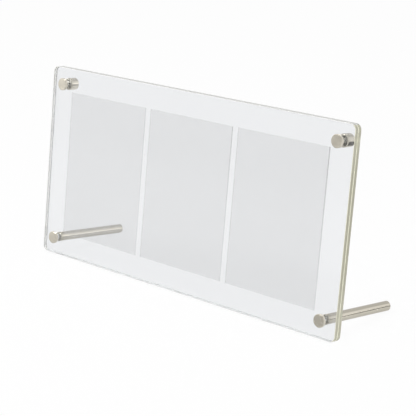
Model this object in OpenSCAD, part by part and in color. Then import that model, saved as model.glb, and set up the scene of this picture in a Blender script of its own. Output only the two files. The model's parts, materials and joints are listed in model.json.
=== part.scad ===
// Acrylic photo frame: three photographs between two clear sheets, leaning back on two long legs.
// It stands on the plane z = 0 and its front faces -y. Each piece is drawn on the upright frame,
// with its depth behind the front face along +y and its height along +z, and then leaned back.

/* [Photographs] */
// Width of one photograph
photo_w = 127; // [100:0.5:160]
// Height of one photograph
photo_h = 172.5; // [120:0.5:220]
// Thickness of one photograph
photo_t = 0.3; // [0.2:0.05:1]
// Bare strip between two neighbouring photographs
photo_gap = 7.5; // [2:0.5:20]
// Free play between a photograph and each sheet
photo_play = 0.05; // [0.05:0.05:0.3]

/* [Sheets] */
// Thickness of one clear sheet
sheet_t = 4.6; // [3:0.1:8]
// Bare border at the left and right of the photographs
side_border = 32; // [24:0.25:60]
// Bare border above the photographs
top_border = 28.25; // [24:0.25:60]
// Bare border below the photographs
bottom_border = 27.25; // [24:0.25:60]
// Radius of the sheets' corners
corner_r = 7; // [3:0.5:12]
// Polished chamfer along the sheets' edges
edge_chamfer = 0.4; // [0.2:0.1:1]
// Distance of the holes from the sheets' left and right edges
hole_side_inset = 20; // [12:0.5:24]
// Distance of the holes from the sheets' upper and lower edges
hole_end_inset = 20; // [14:0.5:23]

/* [Caps] */
// Diameter of a cap
cap_d = 14.4; // [12.6:0.2:18]
// Thickness of a cap
cap_t = 3.2; // [2.8:0.1:6]
// Chamfer on a cap's rims
cap_chamfer = 0.4; // [0.2:0.05:0.6]

/* [Studs and washers] */
// Diameter over a stud's thread
stud_d = 5.8; // [4.6:0.1:6.4]
// Pitch of the thread
thread_pitch = 1; // [0.8:0.1:1.4]
// Depth of the thread
thread_depth = 0.55; // [0.4:0.05:0.8]
// Length of a stud inside its cap
stud_in_cap = 2.3; // [1.5:0.1:2.4]
// Length of a stud inside its barrel or leg
stud_in_barrel = 8; // [5:0.5:8.5]
// Free play round a stud in its threaded bores
thread_play = 0.1; // [0.05:0.01:0.1]
// Free play round a stud in the sheets and washers
hole_play = 0.35; // [0.2:0.05:0.8]
// Diameter of a washer
washer_d = 12; // [10:0.1:12.4]
// Thickness of a washer
washer_t = 0.6; // [0.4:0.1:1.5]

/* [Barrels and legs] */
// Diameter of an upper barrel
barrel_d = 14.4; // [12:0.2:20]
// Length of an upper barrel
barrel_len = 11.6; // [11:0.1:20]
// Diameter of a leg
leg_d = 11; // [9:0.1:16]
// Length of a leg
leg_len = 104; // [70:0.5:150]
// Empty end of a bore beyond its stud
bore_relief = 1; // [0.4:0.1:1.2]
// Chamfer on the rims of the barrels and legs
rod_chamfer = 0.8; // [0.3:0.1:1]

/* [Hidden] */
$fn = 96;

// Both sheets, the gap between them and the depths where things start behind the front face
photos_across = 3;
sheet_w = photos_across * photo_w + (photos_across - 1) * photo_gap + 2 * side_border;
sheet_h = bottom_border + photo_h + top_border;
sheet_gap = photo_t + 2 * photo_play;
rear_sheet_depth = sheet_t + sheet_gap;
frame_t = rear_sheet_depth + sheet_t;
photo_depth = sheet_t + photo_play;

// Where the four holes stand: across from the middle, and up from the lower edge
hole_x = sheet_w / 2 - hole_side_inset;
upper_z = sheet_h - hole_end_inset;
lower_z = hole_end_inset;
upper_left = [-hole_x, upper_z];
upper_right = [hole_x, upper_z];
lower_left = [-hole_x, lower_z];
lower_right = [hole_x, lower_z];
hole_d = stud_d + 2 * hole_play;
bore_d = stud_d + 2 * thread_play;

// Depths and lengths of what stands on a stud's axis
cap_depth = -washer_t - cap_t;
stud_depth = -washer_t - stud_in_cap;
stud_len = stud_in_cap + washer_t + frame_t + washer_t + stud_in_barrel;
barrel_depth = frame_t + washer_t;
bore_len = stud_in_barrel + bore_relief;
thread_turns = floor(stud_len / thread_pitch);
thread_end = (stud_len - thread_turns * thread_pitch) / 2;
overrun = sheet_t / 4;

// The frame leans back until the rear sheet's lower chamfer and the legs' end chamfers are level
sheet_foot_y = frame_t - edge_chamfer;
leg_foot_y = barrel_depth + leg_len - rod_chamfer;
leg_foot_z = lower_z - leg_d / 2;
lean = atan(leg_foot_z / (leg_foot_y - sheet_foot_y));
lift = sheet_foot_y * sin(lean);

// The origin is under the middle of the leaned frame's depth, from the caps' lower rims to the leg ends
front_y = cap_depth * cos(lean) + (lower_z - cap_d / 2 + cap_chamfer) * sin(lean);
back_y = (barrel_depth + leg_len) * cos(lean) + (lower_z + leg_d / 2 - rod_chamfer) * sin(lean);
middle_y = (front_y + back_y) / 2;

// Leans what is drawn on the upright frame and sets it on the ground over the origin
module leaned() {
  translate([0, -middle_y, lift])
    rotate([-lean, 0, 0])
      children();
}

// Puts what is drawn along +z on a stud's axis, so that +z points to the back of the frame
module on_axis(place, depth) {
  leaned()
    translate([place.x, depth, place.y])
      rotate([-90, 0, 0])
        children();
}

// Disc with a chamfer round both rims
module chamfered_disc(r, t, chamfer) {
  rotate_extrude()
    polygon([
      [0, 0], [r - chamfer, 0], [r, chamfer], [r, t - chamfer], [r - chamfer, t], [0, t]
    ]);
}

// Bar along +z whose section has a width, a thickness and a chamfer on its four edges
module chamfered_bar(w, t, len, chamfer) {
  linear_extrude(len)
    polygon([
      [chamfer - w / 2, 0], [w / 2 - chamfer, 0], [w / 2, chamfer], [w / 2, t - chamfer],
      [w / 2 - chamfer, t], [chamfer - w / 2, t], [-w / 2, t - chamfer], [-w / 2, chamfer]
    ]);
}

// One clear sheet: two crossed bars, four round corners and the four stud holes
module sheet(depth) {
  leaned()
    translate([0, depth, 0])
      difference() {
        union() {
          translate([0, 0, corner_r])
            chamfered_bar(sheet_w, sheet_t, sheet_h - 2 * corner_r, edge_chamfer);
          translate([sheet_w / 2 - corner_r, 0, sheet_h / 2])
            rotate([0, -90, 0])
              chamfered_bar(sheet_h, sheet_t, sheet_w - 2 * corner_r, edge_chamfer);
          for (x = [corner_r - sheet_w / 2, sheet_w / 2 - corner_r], z = [corner_r, sheet_h - corner_r])
            translate([x, 0, z])
              rotate([-90, 0, 0])
                chamfered_disc(corner_r, sheet_t, edge_chamfer);
        }
        for (place = [upper_left, upper_right, lower_left, lower_right])
          translate([place.x, -overrun, place.y])
            rotate([-90, 0, 0])
              cylinder(d = hole_d, h = sheet_t + 2 * overrun);
      }
}

module front_sheet() {
  color([0.93, 0.94, 0.93, 0.35])
    sheet(0);
}

module rear_sheet() {
  color([0.93, 0.94, 0.93, 0.35])
    sheet(rear_sheet_depth);
}

// One photograph, counted from the middle: -1 is the left one and 1 the right one
module photo(column) {
  color([0.86, 0.87, 0.88])
    leaned()
      translate([column * (photo_w + photo_gap) - photo_w / 2, photo_depth, bottom_border])
        cube([photo_w, photo_t, photo_h]);
}

// Turned cap: a thick disc with chamfered rims and a blind bore for its stud
module cap(place) {
  r = cap_d / 2;
  color([0.68, 0.66, 0.62])
    on_axis(place, cap_depth)
      rotate_extrude()
        polygon([
          [0, 0], [r - cap_chamfer, 0], [r, cap_chamfer],
          [r, cap_t - cap_chamfer], [r - cap_chamfer, cap_t],
          [bore_d / 2, cap_t], [bore_d / 2, cap_t - stud_in_cap], [0, cap_t - stud_in_cap]
        ]);
}

// Threaded stud, with one ring for each turn of its thread
module stud(place) {
  r = stud_d / 2;
  root_r = r - thread_depth;
  color([0.74, 0.73, 0.7])
    on_axis(place, stud_depth)
      rotate_extrude()
        polygon(concat(
          [[0, 0], [root_r, 0], [root_r, thread_end]],
          [for (i = [0 : thread_turns - 1], share = [0.5, 1])
            [share < 1 ? r : root_r, thread_end + (i + share) * thread_pitch]],
          [[root_r, stud_len], [0, stud_len]]
        ));
}

module washer(place, depth) {
  color([0.9, 0.91, 0.88, 0.6])
    on_axis(place, depth)
      difference() {
        cylinder(d = washer_d, h = washer_t);
        translate([0, 0, -overrun])
          cylinder(d = hole_d, h = washer_t + 2 * overrun);
      }
}

module front_washer(place) {
  washer(place, -washer_t);
}

module rear_washer(place) {
  washer(place, frame_t);
}

// Round rod with chamfered ends and a blind threaded bore in its front end
module bored_rod(d, len) {
  rotate_extrude()
    polygon([
      [bore_d / 2, 0], [d / 2 - rod_chamfer, 0], [d / 2, rod_chamfer],
      [d / 2, len - rod_chamfer], [d / 2 - rod_chamfer, len], [0, len],
      [0, bore_len], [bore_d / 2, bore_len]
    ]);
}

module upper_barrel(place) {
  color([0.78, 0.77, 0.72])
    on_axis(place, barrel_depth)
      bored_rod(barrel_d, barrel_len);
}

module leg(place) {
  color([0.78, 0.77, 0.72])
    on_axis(place, barrel_depth)
      bored_rod(leg_d, leg_len);
}

front_sheet();
rear_sheet();
photo(-1);  // photo_left
photo(0);  // photo_centre
photo(1);  // photo_right
cap(upper_left);  // cap_upper_left
cap(upper_right);  // cap_upper_right
cap(lower_left);  // cap_lower_left
cap(lower_right);  // cap_lower_right
stud(upper_left);  // stud_upper_left
stud(upper_right);  // stud_upper_right
stud(lower_left);  // stud_lower_left
stud(lower_right);  // stud_lower_right
front_washer(upper_left);  // front_washer_upper_left
front_washer(upper_right);  // front_washer_upper_right
front_washer(lower_left);  // front_washer_lower_left
front_washer(lower_right);  // front_washer_lower_right
rear_washer(upper_left);  // rear_washer_upper_left
rear_washer(upper_right);  // rear_washer_upper_right
rear_washer(lower_left);  // rear_washer_lower_left
rear_washer(lower_right);  // rear_washer_lower_right
upper_barrel(upper_left);  // upper_barrel_left
upper_barrel(upper_right);  // upper_barrel_right
leg(lower_left);  // leg_left
leg(lower_right);  // leg_right
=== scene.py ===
import json
from math import cos, pi, radians, sin

import bmesh
import bpy
from mathutils import Matrix, Vector


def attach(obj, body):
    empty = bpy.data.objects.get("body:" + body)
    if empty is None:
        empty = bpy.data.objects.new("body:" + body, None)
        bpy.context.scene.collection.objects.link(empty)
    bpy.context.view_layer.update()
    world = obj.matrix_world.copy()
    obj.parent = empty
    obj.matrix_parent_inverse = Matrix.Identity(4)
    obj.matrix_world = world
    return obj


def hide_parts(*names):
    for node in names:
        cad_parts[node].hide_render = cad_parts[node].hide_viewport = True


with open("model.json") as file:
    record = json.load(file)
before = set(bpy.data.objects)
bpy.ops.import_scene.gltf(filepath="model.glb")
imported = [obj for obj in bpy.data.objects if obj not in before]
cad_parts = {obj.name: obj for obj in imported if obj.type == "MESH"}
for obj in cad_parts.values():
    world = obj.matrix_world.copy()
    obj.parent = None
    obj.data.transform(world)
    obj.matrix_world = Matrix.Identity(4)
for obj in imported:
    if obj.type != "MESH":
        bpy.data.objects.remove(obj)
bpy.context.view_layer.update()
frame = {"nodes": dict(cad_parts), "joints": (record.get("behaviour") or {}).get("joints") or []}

mm = 0.001


# Viewpoint. The camera stood to the right of the frame and above it, about 1.7 m off, with a
# long lens. Its place and turn were solved from the straight edges of the sheets.
def add_object(name, data):
    """Puts a camera, a lamp or a mesh into the scene as an object."""
    made = bpy.data.objects.new(name, data)
    bpy.context.scene.collection.objects.link(made)
    return made


camera_place = Vector((1.10780, -1.15331, 0.57667))
camera_turn = radians(43.895)
camera_tip = radians(16.999)
camera_roll = radians(-0.824)
viewfinder = bpy.data.cameras.new("camera")
viewfinder.lens = 126.91
camera = add_object("camera", viewfinder)
camera.matrix_world = (
    Matrix.Translation(camera_place)
    @ Matrix.Rotation(camera_turn, 4, "Z")
    @ Matrix.Rotation(pi / 2 - camera_tip, 4, "X")
    @ Matrix.Rotation(camera_roll, 4, "Z")
)
bpy.context.scene.camera = camera
bpy.context.scene.view_settings.view_transform = "Standard"


# Studio. A white backdrop, one large soft lamp above and to the left of the camera, and a pale
# floor that takes the shadow. The patches on the room's walls and the cloths on its floor are
# there to be mirrored, as the bands of light and dark in the polished steel.
def wire(tree, kind, wires=None, **settings):
    """Adds one node, sets it up, and joins each of its inputs to a value or to an output."""
    made = tree.nodes.new("ShaderNode" + kind)
    for name, value in settings.items():
        setattr(made, name, value)
    for name, value in (wires or {}).items():
        if isinstance(value, bpy.types.NodeSocket):
            tree.links.new(value, made.inputs[name])
        else:
            made.inputs[name].default_value = value
    return made


def combine(tree, operation, first, second):
    """Works out one value from two, such as their product or the greater of them."""
    return wire(tree, "Math", {0: first, 1: second}, operation=operation).outputs[0]


def blend(tree, share, first, second, kind="RGBA"):
    """Goes from a first colour or value to a second one as the share goes from 0 to 1."""
    mixed = wire(tree, "Mix", {"Factor": share, "A": first, "B": second}, data_type=kind)
    return mixed.outputs["Result"]


def ramp(tree, value, start, end, low=0.0, high=1.0, course="LINEAR"):
    """Goes from low to high as a value goes from start to end, and stays level beyond them."""
    made = wire(
        tree,
        "MapRange",
        {"Value": value, "From Min": start, "From Max": end, "To Min": low, "To Max": high},
        interpolation_type=course,
    )
    return made.outputs[0]


def seen_straight(tree):
    """1 for a ray from the camera, or one that has come through a clear sheet, else 0."""
    path = wire(tree, "LightPath").outputs
    return combine(tree, "MAXIMUM", path["Is Camera Ray"], path["Is Transmission Ray"])


studio = bpy.data.worlds.new("studio")
studio.use_nodes = True
bpy.context.scene.world = studio
room_tree = studio.node_tree
room_tree.nodes.clear()
outlook = wire(room_tree, "TexCoord").outputs["Generated"]


def lay_patch(below, level, aim, core, rim):
    """Lays a round patch of one brightness over what lies below. Seen from the frame it is
    even out to core degrees from its middle, and it has faded out at rim degrees."""
    middle = Vector(aim).normalized()
    towards = wire(room_tree, "VectorMath", {0: outlook, 1: middle}, operation="DOT_PRODUCT")
    start, end = cos(radians(rim)), cos(radians(core))
    near = ramp(room_tree, towards.outputs["Value"], start, end, course="SMOOTHSTEP")
    return blend(room_tree, near, below, level, kind="FLOAT")


wall_level = 0.62
dark_front = lay_patch(wall_level, 0.02, (-0.45, -0.88, 0.05), core=26, rim=40)
left_window = lay_patch(dark_front, 1.38, (-0.95, -0.20, 0.10), core=34.5, rim=37.5)
right_wall = lay_patch(left_window, 0.98, (0.95, -0.30, 0.10), core=30, rim=50)
rear_screen = lay_patch(right_wall, 1.02, (0.56, 0.72, 0.41), core=8, rim=22)
low_light = lay_patch(rear_screen, 1.7, (0.74, 0.67, 0.05), core=6, rim=13)
backdrop_level = 1.0
room = blend(room_tree, seen_straight(room_tree), low_light, backdrop_level, kind="FLOAT")
white = (1, 1, 1, 1)
daylight = wire(room_tree, "Background", {"Color": white, "Strength": room})
wire(room_tree, "OutputWorld", {"Surface": daylight.outputs[0]})

softbox = bpy.data.lights.new("softbox", "AREA")
softbox.shape = "DISK"
softbox.size = 1.2
softbox.energy = 22
lamp = add_object("softbox", softbox)
lamp.location = (-0.7, -1.2, 1.7)
lamp_target = Vector((0, 0, 0.1))
lamp.rotation_euler = (lamp_target - lamp.location).to_track_quat("-Z", "Y").to_euler()
lamp.visible_camera = False


def bare_material(name):
    """A new material, and its node tree with nothing in it yet."""
    made = bpy.data.materials.new(name)
    made.use_nodes = True
    made.node_tree.nodes.clear()
    return made, made.node_tree


floor_half = 15.0
floor_drop = 0.05 * mm
floor_corners = [(-1, -1), (1, -1), (1, 1), (-1, 1)]
floor_mesh = bpy.data.meshes.new("floor")
floor_mesh.from_pydata(
    [(x * floor_half, y * floor_half, 0) for x, y in floor_corners], [], [(0, 1, 2, 3)]
)
floor = add_object("floor", floor_mesh)
floor.location.z = -floor_drop
paper, floor_tree = bare_material("white paper floor")
spot = wire(floor_tree, "TexCoord").outputs["Object"]
mirrored = wire(floor_tree, "LightPath").outputs["Is Reflection Ray"]


def lay_cloth(below, tone, middle, core, rim):
    """Lays a round soft-edged cloth on the floor. Only steel and other mirrors show it."""
    apart = wire(floor_tree, "VectorMath", {0: spot, 1: middle}, operation="DISTANCE")
    near = ramp(floor_tree, apart.outputs["Value"], rim, core, course="SMOOTHSTEP")
    shown = combine(floor_tree, "MULTIPLY", near, mirrored)
    return blend(floor_tree, shown, below, (tone, tone, tone, 1))


# The floor glows evenly, which keeps it white. The camera sees nearly all of that glow and the
# steel half of it. The rest of the floor's light is the light that falls on the paper.
glow = 1.07
glow_seen = 0.95
glow_mirrored = 0.5
paper_colour = (0.93, 0.93, 0.93, 1)
grey_cloth = lay_cloth(paper_colour, 0.50, (-0.03, -0.22, 0), core=0.12, rim=0.50)
floor_colour = lay_cloth(grey_cloth, 0.07, (0.45, 0.31, 0), core=0.24, rim=0.35)
matte = wire(floor_tree, "BsdfDiffuse", {"Color": floor_colour})
bright = wire(floor_tree, "Emission", {"Color": floor_colour, "Strength": glow})
seen_share = combine(floor_tree, "MULTIPLY", seen_straight(floor_tree), glow_seen)
glossy = wire(floor_tree, "LightPath").outputs["Is Glossy Ray"]
steel_share = combine(floor_tree, "MULTIPLY", glossy, glow_mirrored)
share = combine(floor_tree, "MAXIMUM", seen_share, steel_share)
lit_paper = wire(floor_tree, "MixShader", {0: share, 1: matte.outputs[0], 2: bright.outputs[0]})
wire(floor_tree, "OutputMaterial", {"Surface": lit_paper.outputs[0]})
floor_mesh.materials.append(paper)


# Clear sheets, front and rear. Each is cut from 4.6 mm cast acrylic with rounded corners, its
# edges are eased and polished, and a hole is drilled through it near each corner.
outward = Vector(next(j["axis"] for j in frame["joints"] if j["name"] == "front_sheet_off"))
outward.normalize()
across = Vector((1, 0, 0))
up_sheet = outward.cross(across)
leaned = Matrix((across, up_sheet, outward)).transposed().to_4x4()

corners = ("upper_left", "upper_right", "lower_left", "lower_right")
hinges = {j["name"]: Vector(j["pos_m"]) for j in frame["joints"] if j["type"] == "hinge"}
standoff = {corner: hinges[f"cap_{corner}_turn"] for corner in corners}


def reach(node, direction):
    """How far a CAD node reaches along a direction: its least and its greatest distance."""
    along = [v.co.dot(direction) for v in frame["nodes"][node].data.vertices]
    return min(along), max(along)


def widths(node, corner):
    """The least and the greatest radius of a CAD node about the axis of a corner's standoff."""
    radii = []
    for v in frame["nodes"][node].data.vertices:
        aside = v.co - standoff[corner]
        radii.append((aside - outward * aside.dot(outward)).length)
    return min(radii), max(radii)


def clear_acrylic(name, colour, inner_colour, rough, clarity):
    """Clear acrylic with faint wiping marks. It lets the lamp through, as thin sheet does. Its
    skin has one colour on its outside and another as it shows from inside the sheet."""
    made, tree = bare_material(name)
    marks = wire(
        tree,
        "TexNoise",
        {
            "Vector": wire(tree, "TexCoord").outputs["Object"],
            "Scale": 90.0,
            "Detail": 6.0,
            "Roughness": 0.7,
        },
    )
    dull = ramp(tree, marks.outputs[0], 0.45, 0.8, low=rough, high=rough + 0.03)
    tint = colour
    if inner_colour != colour:
        within = wire(tree, "NewGeometry").outputs["Backfacing"]
        tint = blend(tree, within, colour, inner_colour)
    glass = wire(
        tree,
        "BsdfPrincipled",
        {
            "Base Color": tint,
            "Roughness": dull,
            "IOR": 1.49,
            "Transmission Weight": clarity,
        },
    )
    shadow = wire(tree, "LightPath").outputs["Is Shadow Ray"]
    through = wire(tree, "BsdfTransparent", {"Color": shadow_tint})
    both = wire(tree, "MixShader", {0: shadow, 1: glass.outputs[0], 2: through.outputs[0]})
    wire(tree, "OutputMaterial", {"Surface": both.outputs[0]})
    return made


shadow_tint = (0.94, 0.95, 0.95, 1)
clear = (0.930, 0.935, 0.942, 1)
frosted = (0.93, 0.93, 0.90, 1)
# Painted light on the edges. The warm tint of the end edges seen from outside is painted glow,
# standing in for light carried inside the sheet and leaving by its polished ends; seen from
# inside, the ends are near clear. The long edges are painted darker as they show from inside the
# sheet, as painted shade.
end_edge_glow = (0.98, 0.96, 0.76, 1)
end_edge_inside = (0.95, 0.955, 0.955, 1)
long_edge_inside_shade = (0.80, 0.805, 0.805, 1)
sheet_finishes = (
    clear_acrylic("clear acrylic face", clear, clear, 0.0, 1.0),
    clear_acrylic("acrylic end edge", end_edge_glow, end_edge_inside, 0.12, 0.4),
    clear_acrylic("drilled acrylic hole", frosted, frosted, 0.15, 1.0),
    clear_acrylic("acrylic long edge", frosted, long_edge_inside_shade, 0.12, 0.4),
)
face_slot, end_slot, hole_slot, long_slot = range(len(sheet_finishes))

corner_radius = 7 * mm
edge_ease = 0.7 * mm
hole_ease = 0.2 * mm
ease_steps = 4
corner_steps = 14
hole_steps = 48


def rounded_edge(ease, half_thickness):
    """The edge of a sheet from its front to its back: how far in, and at what level."""
    turns = [step / ease_steps * pi / 2 for step in range(ease_steps + 1)]
    front = [(ease * (1 - sin(t)), half_thickness - ease * (1 - cos(t))) for t in turns]
    return front + [(inset, -level) for inset, level in reversed(front)]


def outline(half_width, half_height, inset):
    """The points round a sheet with rounded corners, as far in as the inset says."""
    radius = corner_radius - inset
    points = []
    for quarter, (side, end) in enumerate(((1, 1), (-1, 1), (-1, -1), (1, -1))):
        for step in range(corner_steps + 1):
            angle = (quarter + step / corner_steps) * pi / 2
            x = side * (half_width - corner_radius) + radius * cos(angle)
            y = end * (half_height - corner_radius) + radius * sin(angle)
            points.append((x, y))
    return points


def circle(radius, steps, x=0.0, y=0.0):
    """The points of a circle round a middle."""
    turns = [step / steps * 2 * pi for step in range(steps)]
    return [(x + radius * cos(t), y + radius * sin(t)) for t in turns]


def ring(mesh, points, level):
    """Adds a ring of corners to a mesh, all at one level."""
    return [mesh.verts.new((x, y, level)) for x, y in points]


def skin(mesh, rings, slot):
    """Joins rings of like length by a band of faces, and says which material they have."""
    for low, high in zip(rings, rings[1:]):
        for here in range(len(low)):
            there = (here + 1) % len(low)
            face = mesh.faces.new((low[here], low[there], high[there], high[here]))
            face.smooth = True
            face.material_index = slot


def as_piece(mesh, name, finishes, place):
    """Puts a finished mesh into the scene as a piece. Its flat faces stay flat in the light,
    and the light turns smoothly over its eased edges."""
    bmesh.ops.recalc_face_normals(mesh, faces=mesh.faces)
    made = bpy.data.meshes.new(name)
    mesh.to_mesh(made)
    mesh.free()
    for finish in finishes:
        made.materials.append(finish)
    piece = add_object(name, made)
    piece.matrix_world = place
    even_light = piece.modifiers.new("even light", "WEIGHTED_NORMAL")
    even_light.mode = "FACE_AREA"
    even_light.weight = 50
    return piece


for node, body in (("front_sheet", "front_sheet"), ("rear_sheet", "stand")):
    spans = [reach(node, direction) for direction in (across, up_sheet, outward)]
    middle = [sum(span) / 2 for span in spans]
    half_width, half_height, half_thickness = ((high - low) / 2 for low, high in spans)
    centre = across * middle[0] + up_sheet * middle[1] + outward * middle[2]
    mesh = bmesh.new()
    outer = []
    for inset, level in rounded_edge(edge_ease, half_thickness):
        outer.append(ring(mesh, outline(half_width, half_height, inset), level))
    skin(mesh, outer, end_slot)
    for face in mesh.faces:
        if abs(face.calc_center_median().x) < half_width - corner_radius / 2:
            face.material_index = long_slot
    holes = []
    for corner in corners:
        aside = standoff[corner] - centre
        hole_x, hole_y = aside.dot(across), aside.dot(up_sheet)
        hole_radius = widths(node, corner)[0]
        hole = []
        for inset, level in rounded_edge(hole_ease, half_thickness):
            points = circle(hole_radius + inset, hole_steps, hole_x, hole_y)
            hole.append(ring(mesh, points, level))
        skin(mesh, hole, hole_slot)
        holes.append(hole)
    for end, direction in ((0, 1), (-1, -1)):
        rim = []
        for loop in [outer[end]] + [hole[end] for hole in holes]:
            rim += [mesh.edges.get((a, b)) for a, b in zip(loop, loop[1:] + loop[:1])]
        filled = bmesh.ops.triangle_fill(
            mesh, edges=rim, use_beauty=True, normal=(0, 0, direction)
        )
        for part in filled["geom"]:
            if isinstance(part, bmesh.types.BMFace):
                part.material_index = face_slot
    sheet_place = Matrix.Translation(centre) @ leaned
    sheet = as_piece(mesh, f"acrylic_{node}", sheet_finishes, sheet_place)
    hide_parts(node)
    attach(sheet, body)


# Inserts. Three grey translucent films, each the size of a photograph, lie side by side between
# the sheets that clamp them. A dark line down each film's right edge and a faint one down its
# left are painted shade at the cut edges, heaviest at the top and heavier from film to film.
film, tree = bare_material("grey insert film")
place = wire(tree, "TexCoord").outputs
fibres = wire(
    tree,
    "TexNoise",
    {"Vector": place["Object"], "Scale": 700.0, "Detail": 8.0, "Roughness": 0.65},
).outputs[0]
film_dark = (0.29, 0.29, 0.29, 1)
film_light = (0.35, 0.35, 0.35, 1)
# Painted shade: a dark line down each film's right edge and a faint one down its left edge,
# darker towards the top and from film to film.
edge_shade_colour = (0.10, 0.10, 0.10, 1)
tone = blend(tree, fibres, film_dark, film_light)
on_film = wire(tree, "SeparateXYZ", {"Vector": place["Generated"]}).outputs
on_frame = wire(tree, "SeparateXYZ", {"Vector": place["Object"]}).outputs
right_edge = ramp(tree, on_film["X"], 0.9895, 0.9915)
fading = ramp(tree, on_film["Z"], 0.0, 1.0, low=0.15, high=1.0)
shade_across_frame = ramp(tree, on_frame["X"], -0.07, 0.19, low=0.4, high=1.0)
edge_shade_strength = combine(tree, "MULTIPLY", fading, shade_across_frame)
edge_shade = combine(tree, "MULTIPLY", right_edge, edge_shade_strength)
faint_edge_shade = ramp(tree, on_film["X"], 0.0105, 0.0085, low=0.0, high=0.3)
shaded_edge = combine(tree, "MAXIMUM", edge_shade, faint_edge_shade)
edge_shaded_tone = blend(tree, shaded_edge, tone, edge_shade_colour)
veil = ramp(tree, shaded_edge, 0.0, 1.0, low=0.13, high=0.31)
grain = wire(tree, "Bump", {"Height": fibres, "Strength": 0.1, "Distance": 0.02 * mm})
surface = wire(
    tree,
    "BsdfPrincipled",
    {"Base Color": edge_shaded_tone, "Roughness": 0.6, "Normal": grain.outputs[0], "Alpha": veil},
)
wire(tree, "OutputMaterial", {"Surface": surface.outputs[0]})
for side in ("left", "centre", "right"):
    insert = frame["nodes"][f"photo_{side}"]
    insert.data.materials.clear()
    insert.data.materials.append(film)


# Rods behind the sheets: a short barrel at each upper corner and a long leg at each lower one,
# cut from drawn stainless bar, with eased ends and a tapped blind hole for the stud.
def satin_steel(name, dark, light, rough, grain_scale, streak):
    """Steel with fine tool marks. grain_scale stretches them along or round the piece."""
    made, tree = bare_material(name)
    place = wire(tree, "TexCoord").outputs["Object"]
    drawn = wire(tree, "VectorMath", {0: place, 1: grain_scale}, operation="MULTIPLY")
    lines = wire(
        tree,
        "TexNoise",
        {"Vector": drawn.outputs[0], "Scale": 1.0, "Detail": 4.0, "Roughness": 0.6},
    ).outputs[0]
    tone = blend(tree, lines, dark, light)
    dull = ramp(tree, lines, 0.3, 0.7, low=rough - 0.05, high=rough + 0.06)
    scored = wire(tree, "Bump", {"Height": lines, "Strength": 0.25, "Distance": 0.01 * mm})
    round_axis = wire(tree, "Tangent", direction_type="RADIAL", axis="Z")
    surface = wire(
        tree,
        "BsdfPrincipled",
        {
            "Base Color": tone,
            "Metallic": 1.0,
            "Roughness": dull,
            "Anisotropic": streak,
            "Anisotropic Rotation": 0.25,
            "Normal": scored.outputs[0],
            "Tangent": round_axis.outputs[0],
        },
    )
    wire(tree, "OutputMaterial", {"Surface": surface.outputs[0]})
    return made


def eased(corner_points):
    """A profile whose corners are rounded: each corner is a radius, a height and its ease."""
    profile = []
    count = len(corner_points)
    for number, (radius, height, ease) in enumerate(corner_points):
        here = Vector((radius, height))
        if ease == 0:
            profile.append(here)
            continue
        before = Vector(corner_points[number - 1][:2])
        after = Vector(corner_points[(number + 1) % count][:2])
        start = here + (before - here).normalized() * ease
        end = here + (after - here).normalized() * ease
        for step in range(ease_steps + 1):
            s = step / ease_steps
            profile.append(start * (1 - s) ** 2 + here * (2 * s * (1 - s)) + end * s**2)
    return profile


face_level = reach("front_sheet", outward)[1]


def heights(node):
    """The least and the greatest height of a CAD node, outward from the front sheet's face."""
    rear, front = reach(node, outward)
    return rear - face_level, front - face_level


def on_standoff(corner):
    """The place of a piece on a corner's standoff. Heights count from the front sheet's face."""
    to_face = face_level - standoff[corner].dot(outward)
    return Matrix.Translation(standoff[corner] + outward * to_face) @ leaned


def turned(name, corner, profile, finish, steps):
    """Sweeps a profile of radii and heights round the axis of a corner's standoff. A profile
    that ends on the axis is closed there, and any other one is joined end to end."""
    mesh = bmesh.new()
    rings = []
    for radius, height in profile:
        if radius == 0:
            rings.append([mesh.verts.new((0, 0, height))])
        else:
            rings.append(ring(mesh, circle(radius, steps), height))
    closed = len(rings[0]) > 1
    for low, high in zip(rings, rings[1:] + (rings[:1] if closed else [])):
        if len(low) > 1 and len(high) > 1:
            skin(mesh, (low, high), 0)
            continue
        rim, point = (low, high[0]) if len(high) == 1 else (high, low[0])
        for here in range(len(rim)):
            face = mesh.faces.new((rim[here], rim[(here + 1) % len(rim)], point))
            face.smooth = True
    return as_piece(mesh, name, [finish], on_standoff(corner))


rod_bevel = 0.8 * mm
rod_ease = 0.15 * mm
mouth_ease = 0.2 * mm
tapped_radius = 2.95 * mm
tapped_depth = 9 * mm
steel_steps = 96
steel_dark = (0.66, 0.62, 0.53, 1)
steel_light = (0.76, 0.71, 0.61, 1)
lines_along = (2600, 2600, 40)
drawn_steel = satin_steel(
    "drawn stainless rod", steel_dark, steel_light, 0.13, lines_along, 0.4
)
for node, corner in (
    ("upper_barrel_left", "upper_left"),
    ("upper_barrel_right", "upper_right"),
    ("leg_left", "lower_left"),
    ("leg_right", "lower_right"),
):
    rear, front = heights(node)
    radius = widths(node, corner)[1]
    profile = eased(
        [
            (0, rear, 0),
            (radius - rod_bevel, rear, rod_ease),
            (radius, rear + rod_bevel, rod_ease),
            (radius, front - rod_bevel, rod_ease),
            (radius - rod_bevel, front, rod_ease),
            (tapped_radius, front, mouth_ease),
            (tapped_radius, front - tapped_depth, 0),
            (0, front - tapped_depth, 0),
        ]
    )
    rod = turned(f"steel_{node}", corner, profile, drawn_steel, steel_steps)
    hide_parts(node)
    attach(rod, "stand")


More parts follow.
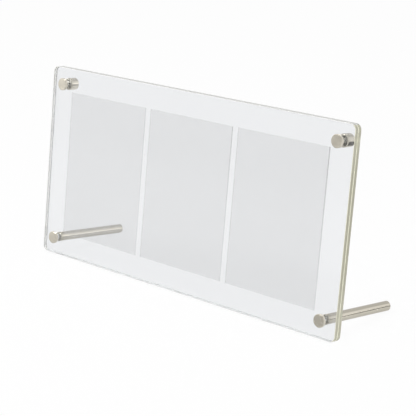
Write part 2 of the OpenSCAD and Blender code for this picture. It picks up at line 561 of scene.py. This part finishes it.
# Studs. Each is a length of threaded steel rod that runs from a cap through both sheets into a
# barrel or a leg. The thread is cut along its whole length, and its ends are chamfered.
thread_pitch = 1 * mm
thread_depth = 0.55 * mm
rings_per_turn = 8
stud_steps = 32
thread_dark = (0.50, 0.49, 0.46, 1)
thread_light = (0.66, 0.65, 0.61, 1)
lines_round_stud = (400, 400, 4000)
thread_steel = satin_steel(
    "cut stud thread", thread_dark, thread_light, 0.3, lines_round_stud, 0.2
)
for corner in corners:
    rear, front = heights(f"stud_{corner}")
    radius = widths(f"stud_{corner}", corner)[1]
    mesh = bmesh.new()
    count = round((front - rear) / thread_pitch * rings_per_turn)
    rings = []
    for number in range(count + 1):
        height = rear + (front - rear) * number / count
        taper = min(height - rear, front - height)
        points = []
        for step in range(stud_steps):
            turn = step / stud_steps
            along_pitch = ((height - rear) / thread_pitch - turn) % 1
            crest = radius - thread_depth * (1 - abs(2 * along_pitch - 1))
            cut = min(crest, radius - thread_depth + taper)
            points.append((cut * cos(2 * pi * turn), cut * sin(2 * pi * turn)))
        rings.append(ring(mesh, points, height))
    skin(mesh, rings, 0)
    mesh.faces.new(rings[0])
    mesh.faces.new(rings[-1])
    stud = as_piece(mesh, f"threaded_stud_{corner}", [thread_steel], on_standoff(corner))
    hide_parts(f"stud_{corner}")
    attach(stud, f"cap_{corner}")


# Washers. One thin clear plastic washer lies under each cap and one behind the rear sheet, so
# that steel never bears on acrylic. They are punched from sheet, with slightly rounded rims.
washer_play = 0.02 * mm
washer_ease = 0.12 * mm
washer_steps = 72
washer_plastic, tree = bare_material("clear washer plastic")
place = wire(tree, "TexCoord").outputs["Object"]
clouds = wire(tree, "TexNoise", {"Vector": place, "Scale": 600.0, "Detail": 3.0})
dull = ramp(tree, clouds.outputs[0], 0.3, 0.7, low=0.15, high=0.25)
surface = wire(
    tree,
    "BsdfPrincipled",
    {"Base Color": (0.30, 0.30, 0.29, 1), "Roughness": dull, "IOR": 1.5, "Alpha": 0.14},
)
wire(tree, "OutputMaterial", {"Surface": surface.outputs[0]})
for side in ("front", "rear"):
    for corner in corners:
        node = f"{side}_washer_{corner}"
        rear, front = heights(node)
        bore, rim = widths(node, corner)
        rear, front = rear + washer_play, front - washer_play
        profile = eased(
            [
                (bore, rear, washer_ease),
                (rim, rear, washer_ease),
                (rim, front, washer_ease),
                (bore, front, washer_ease),
            ]
        )
        washer = turned(f"plastic_{node}", corner, profile, washer_plastic, washer_steps)
        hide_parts(node)
        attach(washer, node if side == "front" else "stand")


# Caps. Each is a thick disc turned from steel bar, with bevelled rims and a tapped blind hole
# behind. It screws onto the stud and clamps the sheets.
stud_in_cap = 2.3 * mm
cap_bevel = 0.4 * mm
cap_ease = 0.1 * mm
lines_round_cap = (300, 300, 5000)
cap_steel = satin_steel(
    "turned cap steel", steel_dark, steel_light, 0.24, lines_round_cap, 0.3
)
for corner in corners:
    rear, front = heights(f"cap_{corner}")
    radius = widths(f"cap_{corner}", corner)[1]
    profile = eased(
        [
            (0, front, 0),
            (radius - cap_bevel, front, cap_ease),
            (radius, front - cap_bevel, cap_ease),
            (radius, rear + cap_bevel, cap_ease),
            (radius - cap_bevel, rear, cap_ease),
            (tapped_radius, rear, mouth_ease),
            (tapped_radius, rear + stud_in_cap, 0),
            (0, rear + stud_in_cap, 0),
        ]
    )
    cap = turned(f"steel_cap_{corner}", corner, profile, cap_steel, steel_steps)
    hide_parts(f"cap_{corner}")
    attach(cap, f"cap_{corner}")
